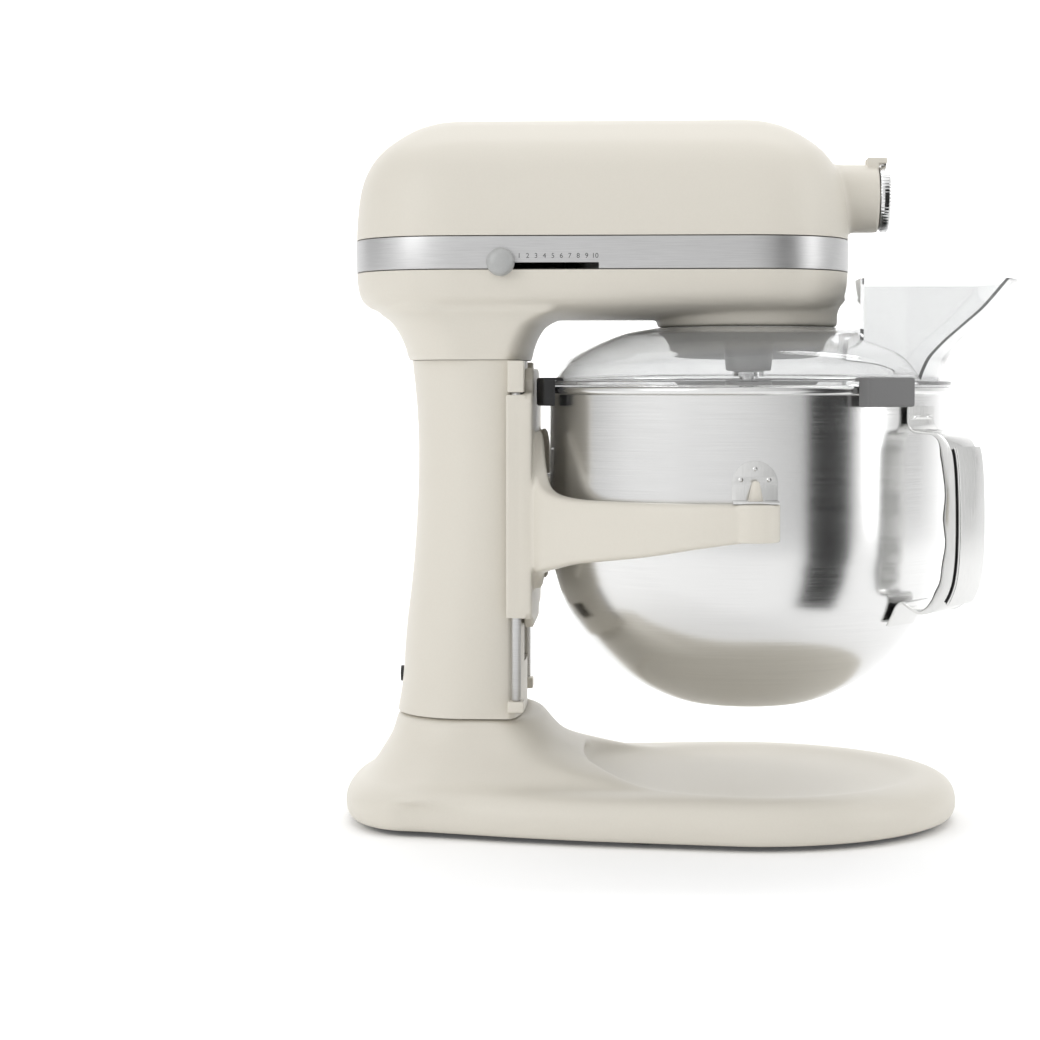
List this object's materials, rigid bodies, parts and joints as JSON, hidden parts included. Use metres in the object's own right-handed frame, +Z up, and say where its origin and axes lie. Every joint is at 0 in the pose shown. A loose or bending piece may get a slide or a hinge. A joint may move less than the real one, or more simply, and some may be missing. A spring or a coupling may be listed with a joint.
{
  "type": "stand mixer",
  "caption": "Bowl-lift stand mixer in matte cream enamel with a brushed steel bowl, strap handle and clear pouring lid.",
  "frame": {"origin": "centre of the overall outline, on the surface the feet stand on", "axes": "+Z up, +X towards the attachment hub, +Y towards the lift lever"},
  "size_m": [0.4016, 0.287, 0.4183],
  "materials": {
    "cream_paint": "matte enamel",
    "brushed_trim": "brushed",
    "brushed_steel": "brushed",
    "chrome": "polished",
    "grey_casting": "burnished",
    "gear_steel": "machined",
    "bronze": "machined",
    "copper": "wound",
    "clear_plastic": "clear",
    "black_rubber": "matte",
    "grey_rubber": "matte",
    "black_plastic": "matte",
    "board": "matte"
  },
  "bodies": {
    "stand": {"base": "cream_paint", "base_plate": "black_plastic", "foot_1": "black_rubber", "foot_2": "black_rubber", "foot_3": "black_rubber", "foot_4": "black_rubber", "foot_5": "black_rubber", "column": "cream_paint", "guide_rod_left": "brushed_trim", "guide_rod_right": "brushed_trim", "lower_housing": "cream_paint", "trim_band": "brushed_trim", "upper_cover": "cream_paint", "motor_stator": "gear_steel", "motor_frame": "grey_casting", "motor_bearing_rear": "chrome", "motor_bearing_front": "chrome", "gear_bearing": "bronze", "ring_gear": "gear_steel", "planetary_bearing": "bronze", "hub_bushing": "bronze", "control_board": "board", "cord_gland": "black_rubber"},
    "rotor": {"rotor_shaft": "gear_steel", "rotor_core": "copper", "cooling_fan": "black_plastic", "rotor_pinion": "gear_steel"},
    "gear_shaft": {"bevel_wheel": "bronze", "pinion_shaft": "gear_steel"},
    "planetary": {"planetary_dish": "grey_casting", "planetary_shaft": "gear_steel", "centre_gear": "gear_steel", "centre_bevel_gear": "gear_steel"},
    "beater": {"beater_shaft": "chrome", "beater_pin": "chrome", "beater_collar": "chrome", "beater_pinion": "gear_steel", "flat_beater": "grey_casting"},
    "hub_drive": {"hub_bevel_gear": "gear_steel", "hub_shaft": "gear_steel"},
    "hub_cap": {"hub_cover": "chrome"},
    "hub_screw": {"hub_knob": "black_plastic"},
    "speed_control": {"speed_knob": "grey_casting", "speed_slider": "black_plastic"},
    "carriage": {"bowl_lift_carriage": "cream_paint", "lift_yoke": "gear_steel", "latch_wire": "chrome"},
    "lever": {"lift_crank": "grey_casting", "lift_lever": "chrome", "lever_grip": "black_plastic"},
    "bowl_set": {"bowl": "brushed_steel", "bowl_bracket_left": "brushed_steel", "bowl_bracket_right": "brushed_steel", "handle_strap": "brushed_steel", "handle_inlay": "black_plastic", "handle_cover": "brushed_steel"},
    "lid_set": {"lid": "clear_plastic", "lid_clip_front": "grey_rubber", "lid_clip_rear": "black_rubber"}
  },
  "joints": [
    {"name": "planetary_spin", "type": "hinge", "parent": "stand", "child": "planetary", "pos_m": [0.0406, 0, 0.3], "axis": [0, 0, 1], "continuous": true},
    {"name": "beater_spin", "type": "hinge", "parent": "planetary", "child": "beater", "pos_m": [0.0406, -0.027, 0.265], "axis": [0, 0, 1], "continuous": true},
    {"name": "gear_shaft_spin", "type": "hinge", "parent": "stand", "child": "gear_shaft", "pos_m": [-0.0074, 0, 0.33], "axis": [0, 0, 1], "continuous": true},
    {"name": "rotor_spin", "type": "hinge", "parent": "stand", "child": "rotor", "pos_m": [-0.0374, 0, 0.352], "axis": [1, 0, 0], "continuous": true},
    {"name": "hub_drive_spin", "type": "hinge", "parent": "stand", "child": "hub_drive", "pos_m": [0.08, 0, 0.3724], "axis": [1, 0, 0], "continuous": true},
    {"name": "hub_cover_swing", "type": "hinge", "parent": "stand", "child": "hub_cap", "pos_m": [0.1214, 0, 0.3946], "axis": [0, -1, 0], "range_deg": [0, 100]},
    {"name": "hub_screw_turn", "type": "hinge", "parent": "stand", "child": "hub_screw", "pos_m": [0.108, 0, 0.3724], "axis": [0, 1, 0], "continuous": true},
    {"name": "speed_slide", "type": "slide", "parent": "stand", "child": "speed_control", "axis": [1, 0, 0], "range_m": [0, 0.054]},
    {"name": "bowl_lift", "type": "slide", "parent": "stand", "child": "carriage", "axis": [0, 0, 1], "range_m": [-0.04, 0]},
    {"name": "lift_lever_turn", "type": "hinge", "parent": "stand", "child": "lever", "pos_m": [-0.117, 0, 0.15], "axis": [0, -1, 0], "range_deg": [0, 90.01]},
    {"name": "bowl_lift_off", "type": "slide", "parent": "carriage", "child": "bowl_set", "axis": [0, 0, 1], "range_m": [0, 0.002]},
    {"name": "lid_lift_off", "type": "slide", "parent": "bowl_set", "child": "lid_set", "axis": [0, 0, 1], "range_m": [0, 0.002]}
  ],
  "couplings": [
    {"joint": "beater_spin", "follows": "planetary_spin", "ratio": -2.5},
    {"joint": "gear_shaft_spin", "follows": "planetary_spin", "ratio": -3},
    {"joint": "rotor_spin", "follows": "planetary_spin", "ratio": 9},
    {"joint": "hub_drive_spin", "follows": "planetary_spin", "ratio": 2},
    {"joint": "lift_lever_turn", "follows": "bowl_lift", "rad_per_m": -39.27}
  ]
}
